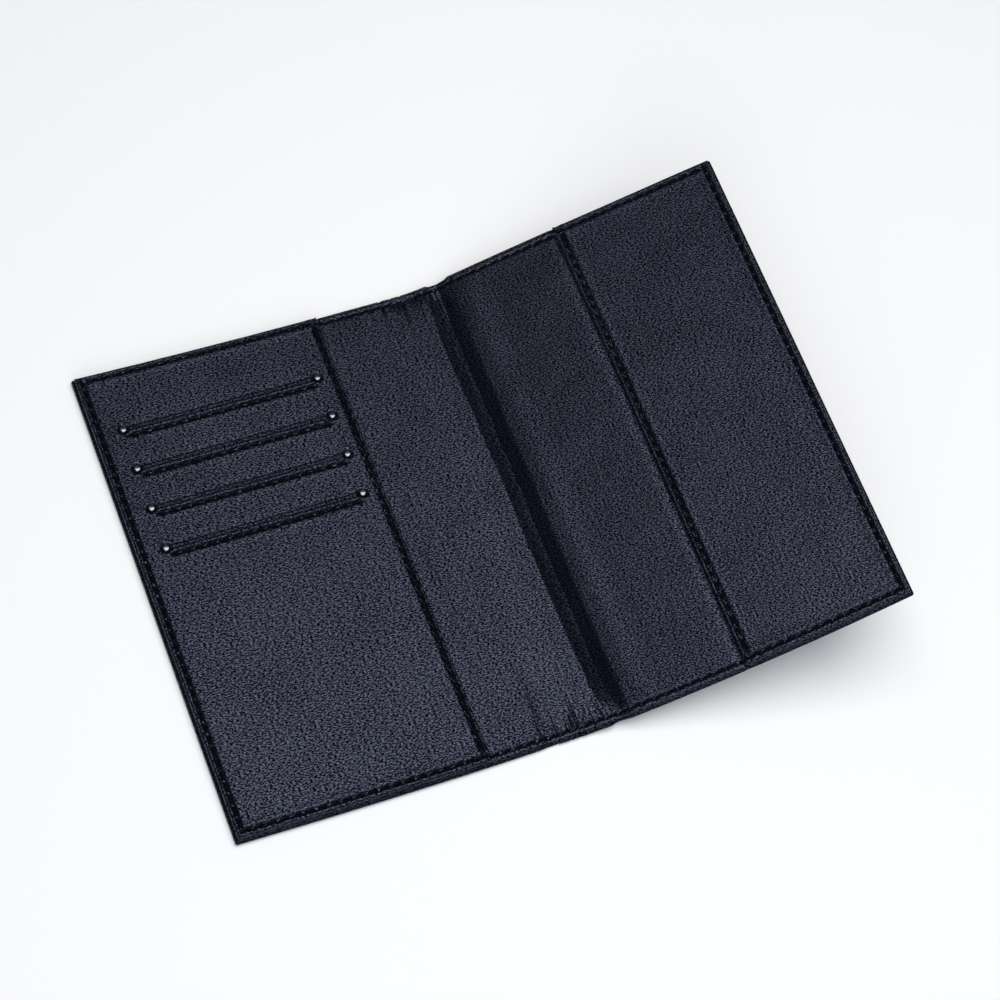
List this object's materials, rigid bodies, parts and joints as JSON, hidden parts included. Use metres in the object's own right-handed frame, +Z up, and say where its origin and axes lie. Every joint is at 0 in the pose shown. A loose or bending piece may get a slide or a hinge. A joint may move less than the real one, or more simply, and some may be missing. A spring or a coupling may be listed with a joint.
{
  "type": "passport holder",
  "caption": "Bifold leather passport holder lying open: a card panel with riveted card slots on the front leaf, a plain passport sleeve on the back leaf, and a soft spine.",
  "frame": {"origin": "middle of the underside of the open holder's overall box, on the surface that the front leaf and the spine lie on", "axes": "+Z up from the surface, +Y along the spine towards the head, +X from the front leaf with the card slots to the back leaf with the sleeve"},
  "size_m": [0.1851, 0.14, 0.0339],
  "materials": {
    "cover_leather": "semi-matte pebbled grain",
    "lining_leather": "semi-matte fine pebbled grain",
    "panel_leather": "semi-matte pebbled grain",
    "board": "matte",
    "pocket_fabric": "matte weave",
    "thread": "waxed twist",
    "rivet_chrome": "polished, dark plated",
    "washer_steel": "plain"
  },
  "bodies": {
    "front_leaf": {"card_mouth_thread": "thread", "card_panel": "panel_leather", "card_pocket_fabric_1": "pocket_fabric", "card_pocket_fabric_2": "pocket_fabric", "card_pocket_fabric_3": "pocket_fabric", "card_pocket_fabric_4": "pocket_fabric", "front_cover_leather": "cover_leather", "front_edge_thread": "thread", "front_lining": "lining_leather", "front_outer_thread": "thread", "front_stiffener": "board", "slot_rivet_washers": "washer_steel", "slot_rivets": "rivet_chrome", "slot_thread_1": "thread", "slot_thread_2": "thread", "slot_thread_3": "thread", "slot_thread_4": "thread"},
    "spine": {"spine_edge_threads": "thread", "spine_leather": "cover_leather", "spine_lining": "lining_leather", "spine_outer_threads": "thread"},
    "back_leaf": {"back_cover_leather": "cover_leather", "back_edge_thread": "thread", "back_lining": "lining_leather", "back_outer_thread": "thread", "back_stiffener": "board", "sleeve_mouth_thread": "thread", "sleeve_panel": "panel_leather"}
  },
  "joints": [
    {"name": "front_fold", "type": "hinge", "parent": "front_leaf", "child": "spine", "pos_m": [-0.00233, 0, 0.00235], "axis": [0, -1, 0], "range_deg": [0, 90]},
    {"name": "back_fold", "type": "hinge", "parent": "spine", "child": "back_leaf", "pos_m": [0.00697, 0, 0.00235], "axis": [0, -1, 0], "range_deg": [-20, 70]}
  ]
}
